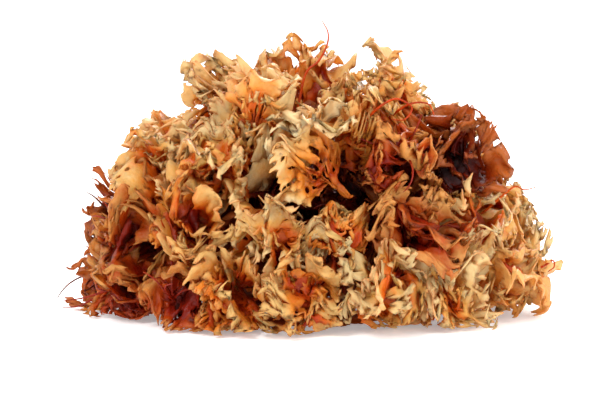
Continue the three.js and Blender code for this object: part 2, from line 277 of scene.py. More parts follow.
# Light and floor, in metres and watts
WHITE = (1, 1, 1, 1)
WORLD_STRENGTH = 1.25
LIGHT_TARGET = (0, 0, 0.03)
LIGHTS = {
    "key": {"place": (-0.3, -0.45, 0.6), "size": 0.2, "power": 3},
    "fill": {"place": (0.6, -0.4, 0.35), "size": 0.5, "power": 3},
    "back": {"place": (0.1, 0.6, 0.5), "size": 0.4, "power": 5},
}
SWEEP = {"front": -3, "back": 0.8, "radius": 1, "top": 4, "half_width": 4, "steps": 24}
FLOOR = {"height": -0.0002, "roughness": 0.7, "glow": 0.3, "greys": ((0.3, 0.92), (0.7, 0.95))}


def stream(seed):
    """Repeatable random numbers from 0 to 1, the ones that placed the solids."""
    mask = 0xFFFFFFFF
    state = seed & mask
    while True:
        state = (state + 0x6D2B79F5) & mask
        mixed = ((state ^ (state >> 15)) * (1 | state)) & mask
        mixed = ((mixed + ((mixed ^ (mixed >> 7)) * (61 | mixed) & mask)) & mask) ^ mixed
        yield (mixed ^ (mixed >> 14)) / (mask + 1)


def unit(vector):
    return vector / np.linalg.norm(vector)


def drawn(limits, detail):
    """A random value from the least, over the range."""
    return limits["least"] + limits["range"] * detail.random()


def random_direction(detail):
    return unit(detail.normal(size=3))


def mound_share(z):
    """How wide the mound is at a height, from 1 at the table to 0 at the top."""
    return (1 - min(z / HEIGHT, 1) ** MOUND_POWER) ** MOUND_ROUNDING


def place_fronds():
    """Every frond's kind and middle, with the random stream that shapes it."""
    placed = []
    for ring_index, (ring, (middle, spread, ring_turn, kinds)) in enumerate(RINGS.items()):
        names = kinds.split()
        step = 2 * math.pi / len(names)
        for i, kind in enumerate(names):
            random = stream(SEED + RING_SEED * ring_index + i)
            turn = ring_turn + step * (i + PLACE_JITTER["turn"] * (next(random) - 0.5))
            angle = turn - OVAL_EVENING * math.sin(2 * turn)
            z = middle + PLACE_JITTER["height"] * (next(random) - 0.5)
            out = spread * mound_share(z) * (1 + PLACE_JITTER["out"] * (next(random) - 0.5))
            place = np.array([out * HALF_WIDTH * math.sin(angle), -out * HALF_DEPTH * math.cos(angle), z])
            placed.append({
                "name": f"{ring}_frond_{i + 1:02d}", "kind": KINDS[kind], "middle": place, "ring": ring,
                "random": random,
                "detail": np.random.default_rng(SEED + FINE_RING_SEED * ring_index + i),
                "cell": HIDDEN_CELL if ring in HIDDEN_RINGS else CELL,
            })
    return placed


def add_walls(frond, fronds):
    """The planes round a frond's own room, that its points stay behind. Sprigs may pass those that give."""
    margin = (CLEARANCE + SOLID_THICKNESS) / 2
    normals = []
    distances = []
    giving = []
    for other in fronds:
        if other is frond:
            continue
        apart = other["middle"] - frond["middle"]
        gap = np.linalg.norm(apart)
        claim = (frond["kind"]["girth"] ** 2 - other["kind"]["girth"] ** 2) / (2 * gap)
        normals.append(apart / gap)
        distances.append(gap / 2 + claim - margin)
        giving.append(other["kind"] is not KINDS["ivory"])
    floor = 0 if frond["ring"] == "rim" else BASE["thickness"]
    normals.append(np.array([0, 0, -1]))
    distances.append(frond["middle"][2] - floor - margin)
    giving.append(False)
    frond["normals"] = np.array(normals)
    frond["distances"] = np.array(distances)
    frond["giving"] = np.array(giving)


def room_toward(rays, offsets, frond, past=0, open_reach=OPEN_REACH):
    """How far there is room along each ray from each offset, with the corners between walls rounded.

    past is how far the ray may go beyond the walls that give way, open_reach how far where there are none.
    """
    left = frond["distances"] - offsets @ frond["normals"].T + past * frond["giving"]
    pull = np.maximum(0, rays @ frond["normals"].T / left)
    total = (1 / open_reach) ** ROUNDING + (pull ** ROUNDING).sum(axis=1)
    return total ** (-1 / ROUNDING)


def crumple_waves():
    """The slow waves that bend neighbouring fronds together."""
    random = stream(SEED)
    waves = []
    for _ in range(CRUMPLE_WAVES):
        along = unit(np.array([2 * next(random) - 1 for _ in range(3)]))
        push = unit(np.array([2 * next(random) - 1 for _ in range(3)]))
        length = CRUMPLE_LENGTH["least"] + CRUMPLE_LENGTH["range"] * next(random)
        waves.append((along * 2 * math.pi / length, push, 2 * math.pi * next(random)))
    return waves


WAVES = crumple_waves()


def crumple(points, strength):
    """Points moved by the slow waves."""
    moved = points.copy()
    for along, push, phase in WAVES:
        moved += np.outer(strength * CRUMPLE * np.sin(points @ along + phase), push)
    return moved


def fine_waves():
    """Short waves that bend the fine fronds to and fro."""
    detail = np.random.default_rng(SEED)
    waves = []
    for _ in range(FINE_CRUMPLE["waves"]):
        along = random_direction(detail) * 2 * math.pi / drawn(FINE_CRUMPLE["length"], detail)
        waves.append((along, random_direction(detail), 2 * math.pi * detail.random()))
    return waves


FINE_WAVES = fine_waves()


def crumple_finely(points):
    """Points moved by the short waves, less and less towards the table, and never into it."""
    height = FINE_CRUMPLE["height"] * np.clip(points[:, 2] / FINE_CRUMPLE["over_floor"], 0, 1)
    moved = points.copy()
    for along, push, phase in FINE_WAVES:
        moved += np.outer(height * np.sin(points @ along + phase), push)
    moved[:, 2] = np.maximum(moved[:, 2], np.minimum(points[:, 2], BLADE_THICKNESS / 2))
    return moved


def add_directions(frond):
    """The frond's growth, side and face, and how its blade is waved, curled and cupped."""
    middle, kind, random = frond["middle"], frond["kind"], frond["random"]
    outward = unit(middle / np.array([HALF_WIDTH ** 2, HALF_DEPTH ** 2, HEIGHT ** 2 / UPWARD]))
    down = unit(np.array([0, 0, -1]) + outward * outward[2])
    across = np.cross(outward, down)
    roll = ROLL * (next(random) - 0.5)
    along = down * math.cos(roll) + across * math.sin(roll)
    frond["side"] = unit(np.cross(outward, along))
    lean = math.pi / 2 * (kind["lean"] + LEAN_JITTER * (next(random) - 0.5))
    frond["growth"] = outward * math.cos(lean) + along * math.sin(lean)
    frond["face"] = np.cross(frond["growth"], frond["side"])
    frond["phase"] = 2 * math.pi * next(random)
    frond["curl"] = -1 if next(random) < 0.5 else 1
    frond["cup"] = CUP["least"] + CUP["range"] * next(random)


def forked_limbs(kind, random):
    """The limbs of the solid's flat outline, level by level."""
    limbs = [{"parent": None, "level": 0, "start": 0, "end": LIMB_ENDS[0] * kind["reach"], "angle": 0,
              "sector": kind["fan"], "children": []}]
    for limb in limbs:
        level = limb["level"] + 1
        if level == len(LIMB_ENDS):
            continue
        share = 0.5 + FORK_JITTER * (next(random) - 0.5)
        low = limb["angle"] - limb["sector"] / 2
        cut = share * limb["sector"]
        for start, sector in ((low, cut), (low + cut, limb["sector"] - cut)):
            end = LIMB_ENDS[level] * kind["reach"] * (1 + FORK_JITTER * (next(random) - 0.5))
            child = {"parent": limb, "level": level, "start": limb["end"], "end": end,
                     "angle": start + sector / 2, "sector": sector, "children": []}
            limb["children"].append(child)
            limbs.append(child)
    return limbs


def half_angle(limb, far, kind, fill=None):
    """Half of the angle that a limb takes at a distance from the root."""
    level = limb["level"]
    fill = fill or FINE_FILLS[level]
    return np.minimum(kind["width"] / 2 / far * FINE_WIDTHS[level], fill * limb["sector"])


def outline_points(limbs, kind):
    """The points of the solid's flat outline, which set how the frond fits its room."""
    polar = [(0, 0)]
    for limb in limbs:
        length = limb["end"] - limb["start"]
        if not limb["children"]:
            row = limb["start"] + TIP["row"] * length
            half = half_angle(limb, row, kind, LIMB_FILL)
            polar += [(row, limb["angle"] + turn * half) for turn in (-1, 0, 1)]
            half = half_angle(limb, limb["end"], kind, LIMB_FILL)
            for share, turn in ((1, -TIP["lobe"]), (TIP["notch"], 0), (1, TIP["lobe"])):
                polar.append((limb["start"] + share * length, limb["angle"] + turn * half))
            continue
        half = half_angle(limb, limb["end"], kind, LIMB_FILL)
        polar += [(limb["end"], limb["angle"] + turn * half) for turn in (-1, 0, 1)]
        low, high = limb["children"]
        shortest = min(child["end"] - child["start"] for child in (low, high))
        polar.append((limb["end"] + CROTCH * shortest, high["angle"] - high["sector"] / 2))
        for child, sign in ((low, -1), (high, 1)):
            far = child["start"] + SHOULDER["along"] * (child["end"] - child["start"])
            angle = limb["angle"] + SHOULDER["turn"] * (child["angle"] - limb["angle"])
            edge = sign * SHOULDER["width"] * half_angle(child, far, kind, LIMB_FILL)
            polar += [(far, angle + edge), (far, angle)]
    far, angle = np.array(polar).T
    return far * np.cos(angle), far * np.sin(angle)


def bend(along, above, curl):
    """Bends a distance along and a height above it round a circle."""
    radius = 1 / curl
    return (radius - above) * np.sin(along * curl), radius - (radius - above) * np.cos(along * curl)


def curled_places(a, b, frond, crisping, lift=0):
    """Where flat points lie once the blade has curled: along the growth, across it, out of the face."""
    kind = frond["kind"]
    reach = kind["reach"]
    far = np.hypot(a, b)
    turn = np.arctan2(b, a) / kind["fan"]
    wave = np.sin(2 * math.pi * kind["waves"] * turn + frond["phase"])
    height = crisping * kind["ruffle"] * (far / reach) ** RUFFLE_POWER * wave + lift
    angle = turn * kind["open"]
    if "flare" in kind:
        tilt = THROAT + kind["flare"] * far / reach
        bow = reach / kind["flare"]
        along = bow * (np.sin(tilt) - math.sin(THROAT)) - height * np.sin(tilt)
        radius = bow * (math.cos(THROAT) - np.cos(tilt)) + height * np.cos(tilt)
        across, face = radius * np.sin(angle), radius * np.cos(angle)
    else:
        along, above = bend(far * np.cos(angle), height, frond["curl"] * kind["curl"] / reach)
        across, face = bend(far * np.sin(angle), above, frond["cup"] / reach)
    return along - ROOT_DEPTH * reach, across, face


def clump_rays(places, frond, crisping):
    """Curled places as rays from the frond's middle, crumpled with the clump."""
    along, across, face = places
    points = (frond["middle"] + np.outer(along, frond["growth"]) + np.outer(across, frond["side"])
              + np.outer(face, frond["face"]))
    return crumple(points, crisping) - frond["middle"]


def split_rays(rays, frond):
    """The rays' parts along the growth and aside from it, and how long the latter are."""
    alongs = rays @ frond["growth"]
    sides = rays - np.outer(alongs, frond["growth"])
    return alongs, sides, np.linalg.norm(sides, axis=1)


def measure_fit(rays, frond):
    """How the solid's points fill the room: their spread, the room ahead and behind, and their shares."""
    alongs, _, widths = split_rays(rays, frond)
    spread = np.sort(widths)[int(FITTED_PART * len(widths))]
    none = np.zeros((1, 3))
    growth = frond["growth"][None]
    ahead = room_toward(growth, none, frond)[0]
    behind = room_toward(-growth, none, frond)[0]
    return spread, ahead, behind, ahead / alongs.max(), behind / -alongs.min()


def eased(share):
    """A share of the room that stays as it is up to a point, then eases off towards the whole."""
    rest = 1 - FREE_SHARE
    return np.where(share < FREE_SHARE, share, FREE_SHARE + rest * np.tanh((share - FREE_SHARE) / rest))


def settle(rays, frond, fit):
    """The rays set in the clump: at each distance along its growth the frond spreads to fill its room."""
    spread, most_ahead, most_behind, ahead, behind = fit
    alongs, sides, widths = split_rays(rays, frond)
    stretch = np.minimum(1, LENGTH_FILL * np.where(alongs > 0, ahead, behind))
    alongs = np.clip(alongs * stretch, -FULLEST * most_behind, FULLEST * most_ahead)
    offsets = np.outer(alongs, frond["growth"])
    toward = sides / np.maximum(widths, TINY)[:, None]
    beside = room_toward(toward, offsets, frond) * eased(widths / spread)
    return frond["middle"] + offsets + toward * beside[:, None]


def solid_fit(frond, limbs):
    """The crisping that the solid was made with, found by its box, and how it fits its room."""
    a, b = outline_points(limbs, frond["kind"])
    low, high = (np.array(corner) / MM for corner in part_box(frond["name"]))
    best = None
    for crisping in CRISPING_STEPS:
        rays = clump_rays(curled_places(a, b, frond, crisping), frond, crisping)
        fit = measure_fit(rays, frond)
        points = settle(rays, frond, fit)
        miss = np.abs(points.min(axis=0) - low).sum() + np.abs(points.max(axis=0) - high).sum()
        if best is None or miss < best[0]:
            best = (miss, crisping, fit)
    return best[1:]


def fine_limbs(limbs, kind, detail):
    """The limbs with their tips forked on, level after level."""
    last = len(LIMB_ENDS) - 1
    fine = list(limbs)
    for limb in fine:
        if limb["level"] >= last:
            if limb["level"] == last:
                limb["tip"] = (limb["end"] - limb["start"]) * drawn(TIP_SHARE, detail)
            step = FINE_SHARES[limb["level"] - last] * (1 + FINE_JITTER * (detail.random() - 0.5))
            limb["end"] = limb["start"] + step * limb["tip"]
            level = limb["level"] + 1
            if level == kind["forks"]:
                limb["last"] = True
                continue
            share = 0.5 + FINE_FORK_JITTER * (detail.random() - 0.5)
            low = limb["angle"] - limb["sector"] / 2
            cut = share * limb["sector"]
            for start, sector in ((low, cut), (low + cut, limb["sector"] - cut)):
                child = {"parent": limb, "level": level, "start": limb["end"], "tip": limb["tip"],
                         "angle": start + sector / 2, "sector": sector, "children": []}
                limb["children"].append(child)
                fine.append(child)
    return fine


def ripples(a, b, length, detail):
    """Smooth random ups and downs of about one length, mostly between -1 and 1."""
    total = np.zeros_like(a)
    for _ in range(RIPPLES):
        turn, phase = 2 * math.pi * detail.random(2)
        rate = 2 * math.pi / (length * drawn(RIPPLE_SPREAD, detail))
        total += np.sin(rate * (a * math.cos(turn) + b * math.sin(turn)) + phase)
    return total / math.sqrt(RIPPLES)


def limb_course(limb, far, kind):
    """A limb's middle angle and half angle at a distance from the root, as it swings out of its parent."""
    parent = limb["parent"] or limb
    share = np.clip((far - limb["start"]) / (limb["end"] - limb["start"]), 0, 1)
    turn = np.interp(share, (0, SHOULDER["along"], 1), (0, SHOULDER["turn"], 1))
    middle = parent["angle"] + (limb["angle"] - parent["angle"]) * turn
    half = half_angle(parent, far, kind) * (1 - turn) + half_angle(limb, far, kind) * turn
    return middle, half


def blade_depth(a, b, limbs, kind, detail):
    """How deep each flat point lies inside the frond's outline, in mm, below zero outside it."""
    far = np.maximum(np.hypot(a, b), NEAREST)
    angle = np.arctan2(b, a)
    depth = np.full(a.shape, OUTSIDE)
    for limb in limbs:
        middle, half = limb_course(limb, far, kind)
        beside = (half - np.abs(angle - middle)) * far
        ends = np.minimum(far - limb["start"] + LIMB_OVERLAP, limb["end"] - far)
        if "last" in limb:
            round_off = TIP_ROUNDING * half * far
            corner = np.hypot(np.maximum(0, round_off - beside), np.maximum(0, round_off - ends))
            inside = np.minimum(round_off - corner, np.minimum(beside, ends))
        else:
            inside = np.minimum(beside, ends + LIMB_OVERLAP)
        depth = np.maximum(depth, inside)
    depth += RAGGED["depth"] * ripples(a, b, RAGGED["length"], detail)
    for _ in range(kind["holes"]):
        hole_far = kind["reach"] * drawn(HOLE_FAR, detail)
        hole_turn = kind["fan"] * HOLE_TURN * (detail.random() - 0.5)
        long_half = drawn(HOLE_LONG, detail)
        short_half = drawn(HOLE_SHORT, detail)
        along = a * math.cos(hole_turn) + b * math.sin(hole_turn) - hole_far
        across = b * math.cos(hole_turn) - a * math.sin(hole_turn)
        depth = np.minimum(depth, (np.hypot(along / long_half, across / short_half) - 1) * short_half)
    return depth


def cut_sheet(reach, cell, depth_of):
    """A flat sheet's triangles where its depth is above zero, cut along the zero line."""
    steps = np.arange(-SHEET_MARGIN * reach, SHEET_MARGIN * reach, cell)
    a, b = (grid.ravel() for grid in np.meshgrid(steps, steps, indexing="ij"))
    depth = depth_of(a, b)
    ids = np.arange(a.size).reshape(len(steps), len(steps))
    corners = (ids[:-1, :-1], ids[1:, :-1], ids[:-1, 1:], ids[1:, 1:])
    near, right, left, far = (corner.ravel() for corner in corners)
    triangles = np.concatenate([np.stack([near, right, far], 1), np.stack([near, far, left], 1)])
    inside = depth[triangles] > 0
    count = inside.sum(axis=1)

    def odd_first(rows, odd):
        first = np.argmax(inside[rows] == odd, axis=1)
        turned = (first[:, None] + np.arange(3)) % 3
        return np.take_along_axis(triangles[rows], turned, axis=1)

    one = odd_first(count == 1, True)
    two = odd_first(count == 2, False)
    cuts = np.concatenate([one[:, [0, 1]], one[:, [0, 2]], two[:, [0, 1]], two[:, [0, 2]]])
    edges, which = np.unique(np.sort(cuts, axis=1), axis=0, return_inverse=True)
    which = which.ravel() + a.size
    one_right, one_left, two_right, two_left = np.split(
        which, np.cumsum([len(one), len(one), len(two)]))
    triangles = np.concatenate([
        triangles[count == 3],
        np.stack([one[:, 0], one_right, one_left], 1),
        np.stack([two_right, two[:, 1], two[:, 2]], 1),
        np.stack([two_right, two[:, 2], two_left], 1),
    ])
    start, end = edges.T
    share = depth[start] / (depth[start] - depth[end])
    a = np.concatenate([a, a[start] + share * (a[end] - a[start])])
    b = np.concatenate([b, b[start] + share * (b[end] - b[start])])
    depth = np.concatenate([depth, np.zeros(len(edges))])
    used, triangles = np.unique(triangles, return_inverse=True)
    return a[used], b[used], depth[used], triangles.reshape(-1, 3)


def thicken(points, triangles, depth, thickness):
    """A closed blade from a sheet: its margin is shared by both faces, and rounded."""
    corners = points[triangles]
    across = np.cross(corners[:, 1] - corners[:, 0], corners[:, 2] - corners[:, 0])
    normals = np.zeros_like(points)
    for corner in range(3):
        np.add.at(normals, triangles[:, corner], across)
    normals /= np.maximum(np.linalg.norm(normals, axis=1), TINY)[:, None]
    rounding = 1 - np.clip(depth / EDGE_ROUND, 0, 1)
    rise = normals * (thickness / 2 * np.sqrt(1 - rounding ** 2))[:, None]
    inner = depth > 0
    lower = np.arange(len(points))
    lower[inner] = len(points) + np.arange(inner.sum())
    both = np.concatenate([points + rise, (points - rise)[inner]])
    faces = np.concatenate([triangles, lower[triangles[:, ::-1]]])
    return both, faces, inner


def make_piece(name, points, faces, values, material):
    """A smooth mesh object from points in mm, with named values at its points for the material."""
    mesh = bpy.data.meshes.new(name)
    mesh.vertices.add(len(points))
    mesh.vertices.foreach_set("co", (points * MM).ravel())
    mesh.loops.add(faces.size)
    mesh.loops.foreach_set("vertex_index", faces.ravel().astype(np.int32))
    mesh.polygons.add(len(faces))
    mesh.polygons.foreach_set("loop_start", np.arange(0, faces.size, 3, dtype=np.int32))
    mesh.update(calc_edges=True)
    mesh.shade_smooth()
    for key, value in values.items():
        layer = mesh.attributes.new(key, "FLOAT", "POINT")
        layer.data.foreach_set("value", value.astype(np.float32))
    mesh.materials.append(material)
    piece = bpy.data.objects.new(name, mesh)
    bpy.context.collection.objects.link(piece)
    return piece


def flat_blade(limbs, kind, detail, cell=CELL):
    """The frond's flat sheet: places, depth inside the margin, triangles."""
    return cut_sheet(kind["reach"], cell, lambda a, b: blade_depth(a, b, limbs, kind, detail))


class StripSheet:
    """A narrow frond's flat sheet, row by row along its limbs: left margin, rib, right margin."""

    def __init__(self, limbs, kind, detail):
        self.kind = kind
        self.detail = detail
        self.points = []
        self.triangles = []
        stalk = limbs[0]
        root = self.row(stalk, SPRIG_STEP)
        self.grow(stalk, root, SPRIG_STEP)

    def add(self, far, angle, depth=0):
        self.points.append((far * math.cos(angle), far * math.sin(angle), depth))
        return len(self.points) - 1

    def row(self, limb, far):
        middle, half = limb_course(limb, far, self.kind)
        left, right = half * (1 + RAGGED_STRIP * (self.detail.random(2) - 0.5))
        return [
            self.add(far, middle - left),
            self.add(far, middle, half * far),
            self.add(far, middle + right),
        ]

    def strip(self, first, second):
        """Fills the strip between two rows."""
        for i in range(len(first) - 1):
            self.triangles.append((first[i], second[i], second[i + 1]))
            self.triangles.append((first[i], second[i + 1], first[i + 1]))

    def grow(self, limb, start, start_far):
        """Rows along a limb, and then its tip or its fork."""
        count = max(1, round((limb["end"] - start_far) / SPRIG_STEP))
        for far in np.linspace(start_far, limb["end"], count + 1)[1:]:
            end = self.row(limb, far)
            self.strip(start, end)
            start = end
        if "last" in limb:
            self.blunt_tip(limb, start)
        else:
            self.fork(limb, start)

    def blunt_tip(self, limb, end):
        left, rib, right = end
        half = half_angle(limb, limb["end"], self.kind)
        teeth = [self.add(limb["end"] + far, limb["angle"] + turn * half) for far, turn in BLUNT_TIP]
        margin = [left, *teeth, right]
        for near, far in zip(margin, margin[1:]):
            self.triangles.append((rib, near, far))

    def fork(self, limb, end):
        """The two limbs that a limb splits into, with the crotch between them."""
        left, rib, right = end
        low, high = limb["children"]
        shortest = min(child["end"] - child["start"] for child in (low, high))
        crotch = self.add(limb["end"] + CROTCH * shortest, high["angle"] - high["sector"] / 2)
        shoulders = []
        for child, sign in ((low, -1), (high, 1)):
            far = child["start"] + SHOULDER["along"] * (child["end"] - child["start"])
            middle, half = limb_course(child, far, self.kind)
            shoulders.append((far, self.add(far, middle + sign * half), self.add(far, middle, half * far)))
        (low_far, low_edge, low_rib), (high_far, high_edge, high_rib) = shoulders
        self.strip([left, rib], [low_edge, low_rib])
        self.triangles += [(rib, low_rib, crotch), (rib, crotch, high_rib)]
        self.strip([rib, right], [high_rib, high_edge])
        self.grow(low, [low_edge, low_rib, crotch], low_far)
        self.grow(high, [crotch, high_rib, high_edge], high_far)

    def parts(self):
        a, b, depth = np.array(self.points).T
        return a, b, depth, np.array(self.triangles)


def margin_lift(a, b, depth, kind, detail):
    """How far the crisped margin waves out of the sheet."""
    along = np.hypot(a, b) / kind["reach"]
    turn = np.arctan2(b, a) / kind["fan"]
    phase = 2 * math.pi * detail.random()
    wander = FLUTTER["sway"] * ripples(a, b, FLUTTER["sway_length"], detail)
    sway = np.sin(2 * math.pi * FLUTTER["waves"] * turn + phase + wander)
    curl = MARGIN_CURL["height"] * np.exp(-depth / MARGIN_CURL["reach"])
    curl = curl * ripples(a, b, MARGIN_CURL["length"], detail)
    return kind["flutter"] * along ** FLUTTER["power"] * sway + curl


def painted_shade_share(points, middle):
    """How much painted shade each point gets, from 0 to 1: near the middle of its frond, or deep in the
    mound.
    """
    from_middle = np.linalg.norm(points - middle, axis=1)
    sizes = (HALF_WIDTH, HALF_DEPTH, HEIGHT - MOUND_HEART[2])
    in_mound = np.linalg.norm((points - MOUND_HEART) / sizes, axis=1)
    in_frond = np.clip(1 - from_middle / PAINTED_SHADE_REACH["frond"], 0, 1)
    return np.maximum(in_frond, np.clip((PAINTED_SHADE_REACH["mound"] - in_mound) / PAINTED_SHADE_REACH["mound"], 0, 1))


def closed_blade(points, triangles, a, b, depth, kind, tone, middle):
    """A sheet's closed blade and the values that its material reads."""
    points, faces, inner = thicken(crumple_finely(points), triangles, depth, BLADE_THICKNESS)
    along = np.hypot(a, b) / kind["reach"]
    values = {
        "along": np.concatenate([along, along[inner]]),
        "edge": np.concatenate([depth, depth[inner]]),
        "tone": np.full(len(points), tone),
        # painted shade, darker deep in the clump
        "painted_shade": painted_shade_share(points, middle),
    }
    return points, faces, values


def main_blade(frond):
    """The frond's own blade, which fits its room as its solid does."""
    kind, detail = frond["kind"], frond["detail"]
    limbs = forked_limbs(kind, frond["random"])
    crisping, fit = solid_fit(frond, limbs)
    a, b, depth, triangles = flat_blade(fine_limbs(limbs, kind, detail), kind, detail, frond["cell"])
    lift = margin_lift(a, b, depth, kind, detail)
    rays = clump_rays(curled_places(a, b, frond, crisping, lift), frond, crisping)
    points = settle(rays, frond, fit)
    return closed_blade(points, triangles, a, b, depth, kind, detail.random(), frond["middle"])


def new_sprig(frond, sort, limits):
    """A broad or narrow branch near the frond's root, with directions of its own."""
    detail = frond["detail"]
    kind = {
        **sort, "reach": drawn(limits["reach"], detail), "fan": drawn(SPRIG_FAN, detail),
        "width": drawn(sort["width"], detail), "curl": drawn(SPRIG_CURL, detail),
    }
    kind["open"] = kind["fan"]
    outward = unit(frond["middle"] / np.array([HALF_WIDTH, HALF_DEPTH, HEIGHT]))
    growth = unit(random_direction(detail) + SPRIG_OUTWARD * outward + SPRIG_ALIKE * frond["growth"])
    side = unit(np.cross(growth, random_direction(detail)))
    root = frond["middle"] - SPRIG_ROOT * kind["reach"] * growth + SPRIG_SCATTER * detail.normal(size=3)
    return {
        "kind": kind, "growth": growth, "side": side, "face": np.cross(growth, side),
        "middle": root + ROOT_DEPTH * kind["reach"] * growth,
        "phase": 2 * math.pi * detail.random(), "curl": detail.choice((-1, 1)),
        "cup": drawn(CUP, detail),
    }


def room_shares(rays, frond, past, open_reach):
    """Each ray's direction, the room along it from the frond's middle, and the share that it takes."""
    lengths = np.linalg.norm(rays, axis=1)
    toward = rays / np.maximum(lengths, TINY)[:, None]
    room = room_toward(toward, np.zeros_like(rays), frond, past, open_reach)
    return toward, room, lengths / room


def sprig_blade(frond, sort):
    """A sprig's blade, fitted into the frond's room and a little past it."""
    detail = frond["detail"]
    limits = HIDDEN_SPRIG if frond["ring"] in HIDDEN_RINGS else SEEN_SPRIG
    sprig = new_sprig(frond, sort, limits)
    kind = sprig["kind"]
    limbs = fine_limbs(forked_limbs(kind, iter(detail.random, None)), kind, detail)
    if sort is BROAD_SPRIG:
        a, b, depth, triangles = flat_blade(limbs, kind, detail, frond["cell"])
    else:
        a, b, depth, triangles = StripSheet(limbs, kind, detail).parts()
    lift = margin_lift(a, b, depth, kind, detail)
    rays = clump_rays(curled_places(a, b, sprig, 1, lift), sprig, 1) + sprig["middle"] - frond["middle"]
    past = drawn(limits["past"], detail)
    open_reach = drawn(limits["open"], detail)
    fullest = np.quantile(room_shares(rays, frond, past, open_reach)[2], SPRIG_FITTED)
    toward, room, shares = room_shares(rays / max(1, fullest), frond, past, open_reach)
    points = frond["middle"] + toward * (room * eased(shares))[:, None]
    return closed_blade(points, triangles, a, b, depth, kind, detail.random(), frond["middle"])


def smooth_path(points):
    """A smooth line through a few points."""
    points = np.array(points, float)
    padded = np.concatenate([2 * points[:1] - points[1:2], points, 2 * points[-1:] - points[-2:-1]])
    path = []
    for i in range(len(points) - 1):
        before, start, end, after = padded[i:i + 4]
        for t in np.arange(THREAD_STEPS) / THREAD_STEPS:
            path.append(0.5 * (2 * start + (end - before) * t
                               + (2 * before - 5 * start + 4 * end - after) * t ** 2
                               + (3 * start - before - 3 * end + after) * t ** 3))
    return np.array(path + [points[-1]])


def thread(path):
    """A thin stem along a path, thinner towards its end."""
    count = len(path)
    ahead = np.gradient(path, axis=0)
    ahead /= np.linalg.norm(ahead, axis=1)[:, None]
    side = np.cross(ahead, THREAD_ASIDE)
    side /= np.linalg.norm(side, axis=1)[:, None]
    other = np.cross(ahead, side)
    radius = THREAD_RADIUS * np.sqrt(np.linspace(1, THREAD_TAPER, count))
    turns = 2 * math.pi * np.arange(THREAD_SIDES) / THREAD_SIDES
    rings = (path[:, None] + radius[:, None, None] * (
        np.cos(turns)[:, None] * side[:, None] + np.sin(turns)[:, None] * other[:, None]))
    points = np.concatenate([rings.reshape(-1, 3), path[:1], path[-1:]])
    start_middle, end_middle = len(points) - 2, len(points) - 1
    faces = []
    for i in range(THREAD_SIDES):
        j = (i + 1) % THREAD_SIDES
        for row in range(count - 1):
            near, far = row * THREAD_SIDES, (row + 1) * THREAD_SIDES
            faces += [(near + i, near + j, far + j), (near + i, far + j, far + i)]
        last = (count - 1) * THREAD_SIDES
        faces += [(start_middle, j, i), (end_middle, last + i, last + j)]
    values = {key: np.full(len(points), value) for key, value in THREAD_VALUES.items()}
    return points, np.array(faces), values


def curly_thread(frond):
    """A stem that curls at random out of a frond's middle."""
    detail = frond["detail"]
    outward = unit(frond["middle"] / np.array([HALF_WIDTH, HALF_DEPTH, HEIGHT]))
    ahead = unit(random_direction(detail) + outward)
    axis = random_direction(detail)
    rate = drawn(CURLY_TURN, detail)
    path = [frond["middle"] + CURLY_START * outward]
    for _ in range(int(drawn(CURLY_LENGTH, detail))):
        ahead = unit(ahead + rate * np.cross(axis, ahead))
        axis = unit(axis + CURLY_WANDER * detail.normal(size=3))
        path.append(path[-1] + ahead)
    path = np.array(path)
    path[:, 2] = np.maximum(path[:, 2], 2 * THREAD_RADIUS)
    return thread(path)


def add_piece(node, blades, slots, materials):
    """One piece from a frond's blades, in place of its solid."""
    counts = np.cumsum([0] + [len(points) for points, _, _ in blades])
    points = np.concatenate([points for points, _, _ in blades])
    faces = np.concatenate([faces + count for (_, faces, _), count in zip(blades, counts)])
    values = {key: np.concatenate([blade[2][key] for blade in blades]) for key in blades[0][2]}
    slot = slots[node]
    piece = make_piece(node + "_blade", points, faces, values, materials[slot])
    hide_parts(node)
    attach(piece, "root")


def base_blade():
    """The frond under the clump, flat on the table."""
    detail = np.random.default_rng(SEED)
    kind = {**BASE, "forks": BASE_FORKS, "holes": 0}
    limbs = fine_limbs(forked_limbs(kind, stream(SEED)), kind, detail)
    a, b, depth, triangles = flat_blade(limbs, kind, detail)
    waves = 1 + np.clip(ripples(a, b, BASE_BUMPS["length"], detail), -1, 1)
    bumps = BASE_BUMPS["height"] * waves * np.clip(depth / EDGE_ROUND, 0, 1)
    points = np.stack([a - BASE["stalk"], b, BLADE_THICKNESS / 2 + bumps], 1)
    return closed_blade(points, triangles, a, b, depth, kind, BASE_TONE, np.zeros(3))


def linear(screen):
    """A screen colour as the linear RGBA that shaders take, by the sRGB rule."""
    shares = [value / 255 for value in screen]
    values = [share / 12.92 if share <= 0.04045 else ((share + 0.055) / 1.055) ** 2.4 for share in shares]
    return values + [1]


